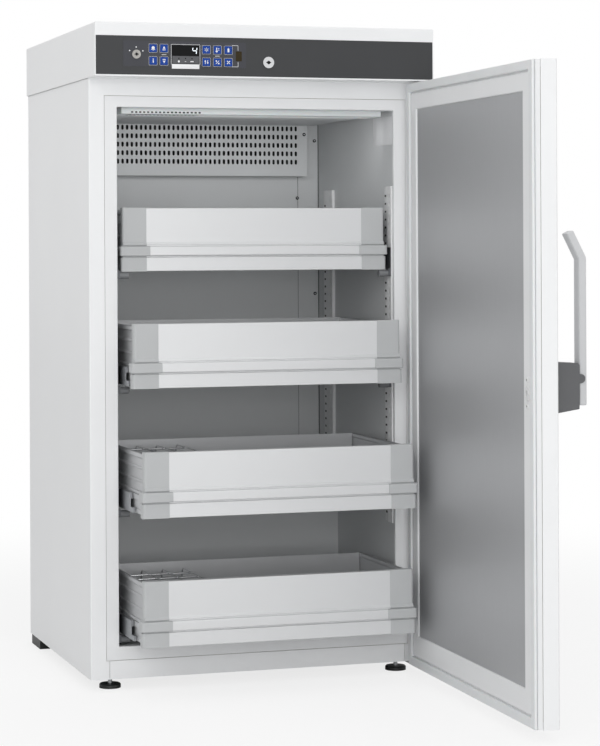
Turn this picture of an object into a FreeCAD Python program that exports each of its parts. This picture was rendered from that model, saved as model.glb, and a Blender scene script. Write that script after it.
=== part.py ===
import FreeCAD, Part
import math
import os
from FreeCAD import Vector

# Upright blood bank refrigerator with four telescopic drawers and a door hung on the right.
# Millimetres, +Z up, +Y to the back. The origin lies on the floor, under the middle of the closed
# case's footprint. Depths below are counted back from the front face of the top cover.
# The door stands open, and the three lower drawers are partly pulled out.

# Case
case_width = 680.0
case_depth = 665.0
case_height = 1284.0
body_bottom = 21.0
body_top = 1181.0
body_front = 71.0
sheet = 1.2

# Top cover and control panel
cover_width = 686.0
cover_wall = 1.5
cover_front_wall = 4.5
fascia_bottom = 1184.0
fascia_top = 1258.0
fascia_thickness = 2.7
foil_thickness = 0.5
foil_left = -288.0
foil_right = -44.5
foil_bottom = 1200.0
foil_top = 1249.0
key_size = 15.0
key_height = 2.0
key_proud = 1.4
key_slack = 0.3
key_places = (
    (-229.5, 1235.0),
    (-208.0, 1235.0),
    (-229.5, 1210.8),
    (-208.0, 1210.8),
    (-124.0, 1234.0),
    (-102.0, 1234.0),
    (-80.0, 1234.0),
    (-124.0, 1210.3),
    (-102.0, 1210.3),
    (-80.0, 1210.3),
)
display_left = -192.6
display_right = -138.0
display_bottom = 1206.0
display_top = 1242.0
sensor_place = (-59.0, 1222.6)
sensor_size = (12.0, 19.0)
key_switch_place = (-262.5, 1222.8)
key_switch_radius = 6.0
panel_lock_place = (0.7, 1211.7)
panel_lock_radius = 8.0
running_gap = 0.05

# Cold space and the machine niche behind its lower part
opening_half_width = 284.0
opening_bottom = 83.0
opening_top = 1126.0
groove_half_width = 309.0
groove_bottom = 57.0
groove_top = 1147.6
frame_depth = 9.0
cavity_half_width = 288.0
cavity_bottom = 82.0
cavity_top = 1128.0
cavity_back = 568.0
step_front = 443.0
step_top = 330.0
liner = 1.0
niche_front = 488.0
niche_top = 285.0
plinth_half_width = 302.4

# Door
door_front = 23.7
door_skin_depth = 31.0
door_skin_sheet = 1.0
door_bottom = 20.0
door_top = 1178.0
door_rest_angle = 88.36
hinge_x = 334.5
hinge_depth = 35.3
hinge_pin_radius = 3.0
frame_back = 63.5
ring_back = 67.5
ring_half_width = 317.0
ring_bottom = 42.0
ring_top = 1157.0
window_half_width = 286.0
window_bottom = 84.0
window_top = 1124.5
gasket_back = 70.7
gasket_inner_half_width = 320.0
strike_place = (-306.0, 599.0)

# Door handle
handle_x = -294.0
handle_pivot_z = 623.0
handle_pivot_out = 56.0
handle_pin_radius = 2.5
base_out = 51.0
lever_inner_out = 52.5
lever_outer_out = 66.5
lever_half_width = 12.0
lever_bottom = 576.0
lever_bend = 831.0
lever_top_run = 50.0
lever_lean = 27.0

# Drawers: height of the underside, pull at rest, length of the box, set-back and length of the runner
closed_front = 91.0
drawer_height = 123.0
drawers = {
    1: {"bottom": 808.0, "pull": 0.0, "length": 350.0, "setback": 29.0, "runner": 330.0},
    2: {"bottom": 585.0, "pull": 91.0, "length": 350.0, "setback": 46.0, "runner": 270.0},
    3: {"bottom": 346.0, "pull": 168.0, "length": 350.0, "setback": 90.0, "runner": 260.0},
    4: {"bottom": 102.5, "pull": 161.0, "length": 300.0, "setback": 79.0, "runner": 218.0},
}
rack_drawers = (3, 4)
cap_half_width = 269.5
cap_length = 48.0
ridge_half_width = 275.5
side_wall_x = 262.0
wire_radius = 1.5
rail_back = {1: 520.0, 2: 520.0, 3: 520.0, 4: 438.0}

# Uprights, evaporator and machine
upright_bottom = 298.0
upright_top = 975.0
upright_depths = (84.0, 458.0)
upright_width = 22.0
slot_pitch = 16.0
evaporator_cover_depth = 530.0
evaporator_cover_bottom = 1007.0
fan_x = 165.0
fan_z = 1064.0
foot_x = 295.0
foot_depth = 104.0
foot_disc_height = 8.5
rear_block_depths = (572.0, 658.0)

os.makedirs("parts", exist_ok=True)


def back(depth):
    return depth - case_depth / 2


# A solid from one or more closed solids, written under the node's name
def save(name, solids):
    solids = solids if isinstance(solids, list) else [solids]
    shape = solids[0] if len(solids) == 1 else Part.makeCompound(solids)
    shape.exportStep("parts/" + name + ".step")


def box(x0, x1, depth0, depth1, z0, z1):
    low_x = min(x0, x1)
    return Part.makeBox(
        abs(x1 - x0), depth1 - depth0, z1 - z0, Vector(low_x, back(depth0), z0)
    )


def fuse(solids):
    return solids[0].multiFuse(solids[1:]).removeSplitter()


# A closed wire through corners (a, b) or (a, b, radius), placed in space by the function to_space
def outline(corners, to_space):
    edges = []
    ends = []
    count = len(corners)
    for i, corner in enumerate(corners):
        here = Vector(corner[0], corner[1], 0)
        before = Vector(corners[i - 1][0], corners[i - 1][1], 0)
        after = Vector(corners[(i + 1) % count][0], corners[(i + 1) % count][1], 0)
        radius = corner[2] if len(corner) > 2 else 0.0
        if not radius:
            ends.append((here, None, here))
            continue
        to_before = (before - here).normalize()
        to_after = (after - here).normalize()
        half = to_before.getAngle(to_after) / 2
        reach = radius / math.tan(half)
        middle = (to_before + to_after).normalize()
        centre = here + middle * (radius / math.sin(half))
        ends.append((here + to_before * reach, centre - middle * radius, here + to_after * reach))
    for i, (start, middle, end) in enumerate(ends):
        following = ends[(i + 1) % count][0]
        if middle is not None:
            arc = Part.Arc(to_space(start), to_space(middle), to_space(end))
            edges.append(arc.toShape())
        edges.append(Part.LineSegment(to_space(end), to_space(following)).toShape())
    return Part.Wire(edges)


# Prisms: across the case (corners are depth, height), front to back (x, height) and upright (x, depth)
def across(corners, x0, x1):
    wire = outline(corners, lambda p: Vector(x0, back(p.x), p.y))
    return Part.Face(wire).extrude(Vector(x1 - x0, 0, 0))


def lengthways(corners, depth0, depth1):
    wire = outline(corners, lambda p: Vector(p.x, back(depth0), p.y))
    return Part.Face(wire).extrude(Vector(0, depth1 - depth0, 0))


def upwards(corners, z0, z1):
    wire = outline(corners, lambda p: Vector(p.x, back(p.y), z0))
    return Part.Face(wire).extrude(Vector(0, 0, z1 - z0))


def rectangle(x0, x1, z0, z1, radius=0.0):
    return ((x0, z0, radius), (x1, z0, radius), (x1, z1, radius), (x0, z1, radius))


def rod(radius, start, end):
    along = end - start
    return Part.makeCylinder(radius, along.Length, start, along)


def rod_in_depth(radius, x, z, depth0, depth1):
    return rod(radius, Vector(x, back(depth0), z), Vector(x, back(depth1), z))


def upright_rod(radius, x, depth, z0, z1):
    return rod(radius, Vector(x, back(depth), z0), Vector(x, back(depth), z1))


# A flat sheet facing the front, with holes given as lists of corners
def holed_sheet(corners, holes, depth0, depth1):
    flat = lambda p: Vector(p.x, back(depth0), p.y)
    wires = [outline(corners, flat)] + [outline(hole, flat) for hole in holes]
    face = Part.makeFace(wires, "Part::FaceMakerCheese")
    return face.extrude(Vector(0, depth1 - depth0, 0))


def stadium(x, z, width, height):
    radius = min(width, height) / 2 - 0.001
    return rectangle(x - width / 2, x + width / 2, z - height / 2, z + height / 2, radius)


def cabinet_shell():
    half = case_width / 2
    shell = box(-half, half, body_front, case_depth - 1.5, body_bottom, body_top)
    corners = [e for e in shell.Edges if abs(e.tangentAt(e.FirstParameter).z) > 0.99]
    front_corners = [e for e in corners if e.CenterOfMass.y < back(body_front) + 1]
    shell = shell.makeFillet(2.5, front_corners)
    inside = half - sheet
    hollow = box(-inside, inside, body_front + sheet, case_depth, body_bottom - 1, body_top - sheet)
    window = box(
        -groove_half_width - 0.5,
        groove_half_width + 0.5,
        body_front - 1,
        body_front + 2 * sheet,
        groove_bottom - 0.5,
        groove_top + 0.5,
    )
    plinth_gap = box(
        -plinth_half_width - 0.8,
        plinth_half_width + 0.8,
        body_front - 1,
        body_front + 2 * sheet,
        body_bottom - 1,
        groove_bottom + 1,
    )
    save("cabinet_shell", shell.cut([hollow, window, plinth_gap]))


# The cold space: full depth above the machine niche, shallower below it
def cold_space(grow, front):
    side = cavity_half_width + grow
    upper = box(-side, side, front, cavity_back + grow, step_top - grow, cavity_top + grow)
    lower = box(-side, side, front, step_front + grow, cavity_bottom - grow, step_top + grow)
    return fuse([upper, lower])


def cabinet_foam():
    half = case_width / 2 - sheet - 0.1
    foam = box(-half, half, body_front + sheet + 0.1, case_depth - 1.6, 24.1, body_top - sheet - 0.1)
    frame_seat = box(
        -groove_half_width,
        groove_half_width,
        body_front,
        body_front + frame_depth,
        24.0,
        groove_top + 0.2,
    )
    niche = box(-half - 1, half + 1, niche_front, case_depth, 20.0, niche_top)
    hollow = cold_space(liner + 0.05, body_front)
    save("cabinet_foam", foam.cut([frame_seat, niche, hollow]))


def inner_liner():
    front = body_front + frame_depth
    outside = cold_space(liner, front)
    inside = cold_space(0.0, front - 1)
    save("inner_liner", outside.cut(inside))


# Thermal break frame round the opening, its face flush with the shell
def front_frame():
    outer = rectangle(-groove_half_width + 0.3, groove_half_width - 0.3, groove_bottom + 0.3, groove_top - 0.3)
    hole = rectangle(-opening_half_width, opening_half_width, opening_bottom, opening_top, 2.0)
    frame = holed_sheet(outer, [hole], body_front, body_front + frame_depth - 0.05)
    rim = [
        e
        for e in frame.Edges
        if e.CenterOfMass.y < back(body_front) + 0.01
        and abs(e.CenterOfMass.x) < opening_half_width + 1
        and opening_bottom - 1 < e.CenterOfMass.z < opening_top + 1
    ]
    save("front_frame", frame.makeChamfer(1.0, rim))


# Base pan with the plinth strip turned up at its front and a cheek on each side of the niche
def base_frame():
    half = case_width / 2 - sheet - 0.1
    inner = half - 2.5
    floor = box(-half, half, body_front + 2.0, case_depth - 1.7, body_bottom, 24.0)
    strip = box(
        -plinth_half_width, plinth_half_width, body_front + 0.2, body_front + 2.0, body_bottom, groove_bottom - 0.6
    )
    cheeks = [
        box(side * inner, side * half, niche_front + 0.2, case_depth - 1.7, 24.0, niche_top - 0.2)
        for side in (-1, 1)
    ]
    save("base_frame", fuse([floor, strip] + cheeks))


def back_panel():
    half = case_width / 2 - 2
    rear = case_depth
    upper = box(-half, half, rear - 1.4, rear, niche_top + 2, body_top - 2)
    louvres = []
    for row in range(11):
        for column in (-1, 0, 1):
            louvres.append(stadium(column * 205.0, 62.0 + row * 19.0, 180.0, 7.0))
    grille = holed_sheet(rectangle(-half, half, 24.5, niche_top, 2.0), louvres, rear - 1.4, rear)
    save("back_panel", [upper, grille])


def cable_gland():
    x = -270.0
    z = 44.0
    body = rod_in_depth(9.0, x, z, case_depth - 18, case_depth - 1.5)
    nut = rod_in_depth(12.0, x, z, case_depth - 5, case_depth - 1.5)
    bore = rod_in_depth(4.0, x, z, case_depth - 20, case_depth)
    save("cable_gland", body.fuse(nut).cut(bore))


def top_cover():
    half = cover_width / 2
    cover = box(-half, half, 0, case_depth, body_top, case_height)
    top_edges = [e for e in cover.Edges if e.CenterOfMass.z > case_height - 0.1]
    cover = cover.makeFillet(3.0, top_edges)
    inside = half - cover_wall
    hollow = box(
        -inside, inside, cover_front_wall, case_depth - cover_wall, body_top + cover_wall, case_height - cover_wall
    )
    underside = box(-inside, inside, body_front + 0.5, case_depth - cover_wall, body_top - 1, body_top + 2)
    pocket = box(-341.3, 341.3, -1, fascia_thickness + 0.1, fascia_bottom - 0.2, fascia_top + 0.2)
    pin_hole = upright_rod(5.0, hinge_x, hinge_depth, body_top - 1, body_top + 3)
    switch_hole = rod_in_depth(key_switch_radius + 1, *key_switch_place, 0, 10)
    lock_hole = rod_in_depth(panel_lock_radius + 1, *panel_lock_place, 0, 10)
    save("top_cover", cover.cut([hollow, underside, pocket, pin_hole, switch_hole, lock_hole]))


def square_hole(place, size):
    x, z = place
    return rectangle(x - size / 2, x + size / 2, z - size / 2, z + size / 2, 1.5)


def fascia():
    plate = box(-341.0, 341.0, 0, fascia_thickness, fascia_bottom, fascia_top)
    pockets = []
    for x, z in key_places:
        reach = key_size / 2 + key_slack
        pockets.append(box(x - reach, x + reach, -1, key_height - 0.4, z - reach, z + reach))
    pockets.append(box(display_left, display_right, -1, 0.6, display_bottom, display_top))
    pockets.append(rod_in_depth(key_switch_radius + running_gap, *key_switch_place, -1, 5))
    pockets.append(rod_in_depth(panel_lock_radius + running_gap, *panel_lock_place, -1, 5))
    save("fascia", plate.cut(pockets))


def control_foil():
    holes = [square_hole(place, key_size + 2 * key_slack) for place in key_places]
    holes.append(rectangle(display_left, display_right, display_bottom, display_top))
    reach_x = sensor_size[0] / 2
    reach_z = sensor_size[1] / 2
    holes.append(
        rectangle(
            sensor_place[0] - reach_x, sensor_place[0] + reach_x, sensor_place[1] - reach_z, sensor_place[1] + reach_z
        )
    )
    foil = holed_sheet(
        rectangle(foil_left, foil_right, foil_bottom, foil_top, 2.0), holes, -foil_thickness, -0.01
    )
    shaft_hole = rod_in_depth(key_switch_radius + 0.5, *key_switch_place, -2, 1)
    save("control_foil", foil.cut(shaft_hole))


def display_window():
    pane = box(display_left + 0.1, display_right - 0.1, -0.9, 0.5, display_bottom + 0.1, display_top - 0.1)
    reach_x = sensor_size[0] / 2 - 0.1
    reach_z = sensor_size[1] / 2 - 0.1
    sensor = box(
        sensor_place[0] - reach_x,
        sensor_place[0] + reach_x,
        -0.9,
        -0.02,
        sensor_place[1] - reach_z,
        sensor_place[1] + reach_z,
    )
    save("display_window", [pane, sensor])


def panel_keys():
    for number, place in enumerate(key_places, 1):
        wire = square_hole(place, key_size)
        key = holed_sheet(wire, [], -key_proud, key_height - key_proud)
        front = [e for e in key.Edges if e.CenterOfMass.y < back(-key_proud) + 0.01]
        save("panel_key_" + str(number), key.makeFillet(0.5, front))


def turning_barrel(name, place, radius, flange_radius, flange_back, length):
    flange = rod_in_depth(flange_radius, *place, flange_back - 2.6, flange_back)
    shaft = rod_in_depth(radius, *place, flange_back, length)
    x, z = place
    slot = box(x - 0.9, x + 0.9, flange_back - 3, flange_back + 4, z - 3.5, z + 3.5)
    save(name, flange.fuse(shaft).cut(slot))


def hinge_brackets():
    x0 = 312.0
    x1 = 339.0
    lower = [
        box(x0, x1, 22, 140, 16.5, 19.5),
        box(x0, x1, body_front + 3, 138, 19.5, body_bottom),
        upright_rod(hinge_pin_radius, hinge_x, hinge_depth, 19.5, 33.5),
    ]
    upper = [
        box(x0, x1, 22, 150, body_top + 1.6, body_top + 4.6),
        box(x0, x1, body_front + 1, 148, body_top, body_top + 1.6),
        upright_rod(hinge_pin_radius, hinge_x, hinge_depth, 1165.0, body_top + 2),
    ]
    save("hinge_brackets", [fuse(lower), fuse(upper)])


def feet():
    solids = []
    for side in (-1, 1):
        x = side * foot_x
        disc = upright_rod(21.0, x, foot_depth, 0, foot_disc_height)
        disc = disc.makeChamfer(2.0, [e for e in disc.Edges if e.CenterOfMass.z > foot_disc_height - 1])
        stem = upright_rod(4.0, x, foot_depth, foot_disc_height, body_bottom)
        nut = upright_rod(8.0, x, foot_depth, 16.5, body_bottom)
        solids.append(fuse([disc, stem, nut]))
        solids.append(box(side * 316, side * 338, *rear_block_depths, 0, body_bottom))
    save("feet", solids)


# Door pieces are drawn closed and then turned to the rest angle
def opened(shape):
    pin = Vector(hinge_x, back(hinge_depth), 0)
    return shape.rotated(pin, Vector(0, 0, 1), door_rest_angle)


def save_on_door(name, solids):
    solids = solids if isinstance(solids, list) else [solids]
    save(name, [opened(s) for s in solids])


def door_skin():
    half = case_width / 2
    depth1 = door_front + door_skin_depth
    skin = box(-half, half, door_front, depth1, door_bottom, door_top)
    corners = [
        e
        for e in skin.Edges
        if abs(e.tangentAt(e.FirstParameter).z) > 0.99 and e.CenterOfMass.y < back(door_front) + 1
    ]
    skin = skin.makeFillet(3.5, corners)
    inside = half - door_skin_sheet
    inner_front = door_front + door_skin_sheet
    hollow = upwards(
        (
            (-inside, inner_front, 2.5),
            (inside, inner_front, 2.5),
            (inside, depth1 + 1),
            (-inside, depth1 + 1),
        ),
        door_bottom - 1,
        door_top + 1,
    )
    save_on_door("door_skin", skin.cut(hollow))


# Moulded caps that close the skin at the top and bottom and carry the pin bores
def door_end_caps():
    half = case_width / 2 - door_skin_sheet - 0.1
    front = door_front + door_skin_sheet + 0.1
    caps = []
    for z0, z1 in ((door_bottom + 0.8, 34.0), (1164.0, door_top - 0.8)):
        cap = box(-half, half, front, door_front + door_skin_depth, z0, z1)
        corners = [
            e
            for e in cap.Edges
            if abs(e.tangentAt(e.FirstParameter).z) > 0.99 and e.CenterOfMass.y < back(front) + 1
        ]
        bore = upright_rod(hinge_pin_radius + running_gap, hinge_x, hinge_depth, z0 - 1, z1 + 1)
        caps.append(cap.makeFillet(2.6, corners).cut(bore))
    save_on_door("door_end_caps", caps)


def door_foam():
    half = case_width / 2 - door_skin_sheet - 0.2
    front = door_front + door_skin_sheet + 0.2
    slab = box(-half, half, front, door_front + door_skin_depth, 34.2, 1163.8)
    corners = [
        e
        for e in slab.Edges
        if abs(e.tangentAt(e.FirstParameter).z) > 0.99 and e.CenterOfMass.y < back(front) + 1
    ]
    core = box(
        -window_half_width + 0.2,
        window_half_width - 0.2,
        door_front + door_skin_depth,
        frame_back - 0.05,
        window_bottom + 0.2,
        window_top - 0.2,
    )
    save_on_door("door_foam", fuse([slab.makeFillet(2.5, corners), core]))


def window():
    return rectangle(-window_half_width, window_half_width, window_bottom, window_top)


def door_frame():
    base = holed_sheet(
        rectangle(-338.6, 338.6, door_bottom + 1.4, door_top - 1.4),
        [window()],
        door_front + door_skin_depth + 0.6,
        frame_back,
    )
    ring = holed_sheet(
        rectangle(-ring_half_width, ring_half_width, ring_bottom, ring_top), [window()], frame_back, ring_back
    )
    frame = fuse([base, ring])
    face_edges = [e for e in frame.Edges if e.CenterOfMass.y > back(ring_back) - 0.01]
    frame = frame.makeChamfer(1.6, face_edges)
    clearance = upright_rod(12.0, hinge_x + 9, hinge_depth, 0, 1300)
    save_on_door("door_frame", frame.cut(clearance))


def door_panel():
    reach = window_half_width - 0.1
    panel = box(-reach, reach, frame_back, frame_back + 1, window_bottom + 0.1, window_top - 0.1)
    save_on_door("door_panel", panel)


# Magnetic seal: a soft ring with a folded groove round its outer side
def door_gasket():
    outer_z0 = door_bottom + 1.2
    outer_z1 = door_top - 1.2
    step = gasket_inner_half_width - ring_half_width
    hole = rectangle(
        -gasket_inner_half_width, gasket_inner_half_width, ring_bottom - step, ring_top + step, 2.0
    )
    seal = holed_sheet(rectangle(-339.2, 339.2, outer_z0, outer_z1, 3.0), [hole], frame_back, gasket_back)
    face_edges = [e for e in seal.Edges if e.CenterOfMass.y > back(gasket_back) - 0.01]
    seal = seal.makeFillet(2.2, face_edges)
    groove = box(-345, 345, frame_back + 1.6, frame_back + 2.8, 0, 1300).cut(
        box(-336.5, 336.5, frame_back, gasket_back, outer_z0 + 2.7, outer_z1 - 2.7)
    )
    save_on_door("door_gasket", seal.cut(groove))


def strike_escutcheon():
    x, z = strike_place
    plate = holed_sheet(stadium(x, z, 13.0, 27.0), [stadium(x, z, 5.0, 10.0)], ring_back, ring_back + 2.6)
    screws = [rod_in_depth(3.8, x, z + rise, ring_back, ring_back + 2.4) for rise in (-22.0, 23.5)]
    save_on_door("strike_escutcheon", [plate] + screws)


# Places on the handle are counted outwards from the door's outer face
def out(distance):
    return door_front - distance


def handle_base():
    x = handle_x
    block = across(
        (
            (out(0), 562.0),
            (out(base_out), 570.0, 1.5),
            (out(base_out), 650.0, 5.0),
            (out(0), 653.0),
        ),
        x - 16,
        x + 16,
    )
    ear_profile = (
        (out(handle_pivot_out - 15), 615.0),
        (out(handle_pivot_out + 6), 615.0, 7.9),
        (out(handle_pivot_out + 6), 631.0, 7.9),
        (out(handle_pivot_out - 15), 631.0),
    )
    ears = [across(ear_profile, x + side * 12.6, x + side * 16) for side in (-1, 1)]
    recess = across(
        (
            (out(base_out + 1), handle_pivot_z + 2),
            (out(base_out - 15), 555.0),
            (out(base_out + 1), 555.0),
        ),
        x - 12.6,
        x + 12.6,
    )
    pin = rod(
        handle_pin_radius,
        Vector(x - 16.5, back(out(handle_pivot_out)), handle_pivot_z),
        Vector(x + 16.5, back(out(handle_pivot_out)), handle_pivot_z),
    )
    base = fuse([block.cut(recess)] + ears)
    save_on_door("handle_base", fuse([base, pin]))


def handle_lever():
    lean = math.radians(lever_lean)
    slope_depth = lever_top_run * math.sin(lean)
    slope_rise = lever_top_run * math.cos(lean)
    thickness = lever_outer_out - lever_inner_out
    end_depth = thickness * math.cos(lean)
    end_rise = thickness * math.sin(lean)
    bend_shift = thickness * math.tan(lean / 2)
    corners = (
        (out(lever_inner_out), lever_bottom, 2.5),
        (out(lever_outer_out), lever_bottom, 2.5),
        (out(lever_outer_out), lever_bend + bend_shift, 12.0),
        (out(lever_inner_out - slope_depth + end_depth), lever_bend + slope_rise + end_rise, 2.5),
        (out(lever_inner_out - slope_depth), lever_bend + slope_rise, 2.5),
        (out(lever_inner_out), lever_bend, 6.0),
    )
    x0 = handle_x - lever_half_width
    x1 = handle_x + lever_half_width
    lever = across(corners, x0, x1)
    rims = [e for e in lever.Edges if min(abs(e.CenterOfMass.x - x) for x in (x0, x1)) < 0.01]
    lever = lever.makeChamfer(1.6, rims)
    bore = rod(
        handle_pin_radius + running_gap,
        Vector(x0 - 1, back(out(handle_pivot_out)), handle_pivot_z),
        Vector(x1 + 1, back(out(handle_pivot_out)), handle_pivot_z),
    )
    save_on_door("handle_lever", lever.cut(bore))


# Cross-section of a drawer's front, as depth behind its flat face and height above its underside
def front_corners(front, bottom):
    contour = (
        (-3.0, 0.0, 1.0),
        (-3.0, 26.5, 0.8),
        (-0.5, 27.5),
        (-0.5, 29.0),
        (-7.0, 30.0, 2.4),
        (-7.0, 48.0, 2.4),
        (-1.0, 48.8),
        (-1.0, 51.0),
        (-3.2, 51.4, 0.6),
        (0.0, 56.5, 1.0),
        (0.0, 123.0, 1.4),
        (14.0, 123.0),
        (14.0, 119.5),
        (3.5, 119.5),
        (3.5, 3.5),
        (14.0, 3.5),
        (14.0, 0.0),
    )
    return tuple((front + c[0], bottom + c[1]) + tuple(c[2:]) for c in contour)


def drawer_front(number, front, bottom):
    reach = cap_half_width - cap_length
    profile = across(front_corners(front, bottom), -reach, reach)
    notches = [
        box(side * (reach - 6.2), side * (reach + 1), front - 8, front - 0.6, bottom + 29, bottom + 48.7)
        for side in (-1, 1)
    ]
    save("drawer_" + str(number) + "_front", profile.cut(notches))


# One moulded corner cap; side is -1 on the left and 1 on the right
def corner_cap(side, front, bottom):
    inner = cap_half_width - cap_length + 0.05
    rear = front + 16

    def level(start, face, end, corner, z0, z1):
        plan = (
            (side * start, front + face),
            (side * end, front + face, corner),
            (side * end, rear),
            (side * start, rear),
        )
        return upwards(plan, bottom + z0, bottom + z1)

    lower = level(inner, -3.4, 273.0, 5.0, -0.5, 26.5)
    waist = level(inner, -0.8, 270.0, 3.0, 26.5, 29.5)
    ridge = level(inner - 6, -7.8, ridge_half_width, 6.0, 29.5, 48.4)
    outside = [
        e
        for e in ridge.Edges
        if abs(e.tangentAt(e.FirstParameter).z) < 0.01 and e.CenterOfMass.y < back(rear) - 1
    ]
    outside = [e for e in outside if abs(e.CenterOfMass.x) > inner - 5]
    ridge = ridge.makeFillet(2.2, outside)
    behind_front = box(side * (inner - 7), side * (inner - 0.05), front - 0.7, rear + 1, bottom + 29, bottom + 49)
    ridge = ridge.cut(behind_front)
    shoulder = across(
        (
            (rear, bottom + 48.4),
            (front - 1.4, bottom + 48.4),
            (front - 3.8, bottom + 51.4, 0.6),
            (front - 0.4, bottom + 57.0, 1.0),
            (rear, bottom + 57.0),
        ),
        side * inner,
        side * (cap_half_width - 1),
    )
    neck = level(inner, -0.8, 270.5, 4.0, 48.4, 52.0)
    upper = level(inner, -0.4, cap_half_width, 5.0, 52.0, drawer_height + 0.6)
    return fuse([lower, waist, ridge, shoulder, neck, upper])


def drawer_caps(number, front, bottom):
    caps = [corner_cap(side, front, bottom) for side in (-1, 1)]
    save("drawer_" + str(number) + "_corner_caps", caps)


# Ribbed aluminium side wall, as x and height above the drawer's underside
def side_wall(side, front, bottom, length):
    contour = (
        (262.0, 42.0),
        (268.2, 42.0),
        (268.2, 46.5),
        (266.0, 48.0),
        (266.0, 64.0),
        (268.0, 66.0),
        (268.0, 69.0),
        (266.0, 71.0),
        (266.0, 89.0),
        (268.0, 91.0),
        (268.0, 94.0),
        (266.0, 96.0),
        (266.0, 109.0),
        (269.0, 112.0, 1.5),
        (269.0, 119.5, 3.0),
        (262.0, 119.5, 2.0),
        (262.0, 112.0),
        (263.6, 110.0),
        (263.6, 46.0),
        (262.0, 44.0),
    )
    corners = tuple((side * c[0], bottom + c[1]) + tuple(c[2:]) for c in contour)
    return lengthways(corners, front + 16.05, front + length)


# Steel bottom with its low sides and rear wall, the two side walls and the drawer members beside it
def drawer_box(number, front, bottom, length):
    rear = front + length
    start = front + 16.05
    tray = [
        box(-266.4, 266.4, start, rear, bottom + 3, bottom + 4.2),
        box(-266.4, -265.2, start, rear, bottom + 4.2, bottom + 41.9),
        box(265.2, 266.4, start, rear, bottom + 4.2, bottom + 41.9),
        box(-261.9, 261.9, rear - 1.6, rear, bottom + 4.2, bottom + 119),
    ]
    member_profile = (
        (266.5, 6.0),
        (269.3, 6.0),
        (269.3, 12.0),
        (268.0, 13.0),
        (268.0, 29.0),
        (269.3, 30.0),
        (269.3, 40.0),
        (266.5, 40.0),
    )
    solids = tray
    for side in (-1, 1):
        solids.append(side_wall(side, front, bottom, length))
        corners = tuple((side * x, bottom + z) for x, z in member_profile)
        solids.append(lengthways(corners, start, rear - 8))
    save("drawer_" + str(number) + "_box", solids)


# Wire rack that keeps bags apart, standing on the tray at the left
def divider_rack(number, front, bottom, length):
    low = bottom + 4.3 + wire_radius
    high = bottom + 110.0
    near = front + 34
    far = front + length - 30
    foot = high - 14.5
    wires = []
    for i in range(4):
        x = -250.0 + 42.0 * i
        path = bent_wire(
            (
                Vector(x, back(near), foot),
                Vector(x, back(near), high),
                Vector(x, back(far), high),
                Vector(x, back(far), foot),
            ),
            14.0,
        )
        circle = Part.Circle(Vector(x, back(near), foot), Vector(0, 0, 1), wire_radius).toShape()
        wires.append(path.makePipeShell([Part.Wire(circle)], True, False))
        for depth in (near, far):
            wires.append(upright_rod(wire_radius, x, depth, low - wire_radius, foot))
    beside = 2 * wire_radius + 0.05
    for depth in (near - beside, far + beside):
        for z in (low, bottom + 62.0):
            wires.append(rod(wire_radius, Vector(-256.0, back(depth), z), Vector(-118.0, back(depth), z)))
    save("drawer_" + str(number) + "_divider_rack", wires)


# An open path of straight runs with one radius at each inner corner
def bent_wire(points, radius):
    edges = []
    start = points[0]
    for i in range(1, len(points) - 1):
        here = points[i]
        to_before = (points[i - 1] - here).normalize()
        to_after = (points[i + 1] - here).normalize()
        half = to_before.getAngle(to_after) / 2
        reach = radius / math.tan(half)
        middle = (to_before + to_after).normalize()
        centre = here + middle * (radius / math.sin(half))
        first = here + to_before * reach
        last = here + to_after * reach
        edges.append(Part.LineSegment(start, first).toShape())
        edges.append(Part.Arc(first, centre - middle * radius, last).toShape())
        start = last
    edges.append(Part.LineSegment(start, points[-1]).toShape())
    return Part.Wire(edges)


# Middle members, one a side, between the cabinet rail and the drawer member
def drawer_runners(number, front, bottom, drawer):
    start = front + drawer["setback"]
    end = start + drawer["runner"]
    solids = []
    for side in (-1, 1):
        web = box(side * 273.8, side * 275.2, start, end, bottom + 4, bottom + 40)
        upper = box(side * 270.4, side * 275.2, start, end, bottom + 29, bottom + 40)
        lower_start = start - 22 if number > 1 else start
        lower = box(side * 270.4, side * 275.2, lower_start, end, bottom + 4, bottom + 14)
        solids.append(fuse([web, upper, lower]))
    save("drawer_" + str(number) + "_runners", solids)


# Channels fixed to the uprights, with a nylon glide at the front under each drawer's corner
def cabinet_rails():
    solids = []
    start = body_front + frame_depth + 4
    for number, drawer in drawers.items():
        bottom = drawer["bottom"]
        end = rail_back[number]
        for side in (-1, 1):
            web = box(side * 280.6, side * 281.8, start, end, bottom, bottom + 44)
            foot = box(side * 276.4, side * 281.8, start, end, bottom, bottom + 1.2)
            head = box(side * 276.4, side * 281.8, start, end, bottom + 42.8, bottom + 44)
            arm = box(side * 276.4, side * 281.8, start, start + 14, bottom - 14, bottom - 0.05)
            glide_place = Vector(side * 258.0, back(start + 7), bottom - 8.2)
            glide = rod(6.5, glide_place, glide_place + Vector(side * 18.6, 0, 0))
            solids.append(fuse([arm, glide]))
            channel = [web, foot, head]
            if upright_bottom > bottom:
                for depth in (start + 20, end - 30):
                    channel.append(box(side * 281.6, side * 288, depth, depth + 20, bottom + 8, bottom + 36))
            solids.append(fuse(channel))
    save("cabinet_rails", solids)


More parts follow.
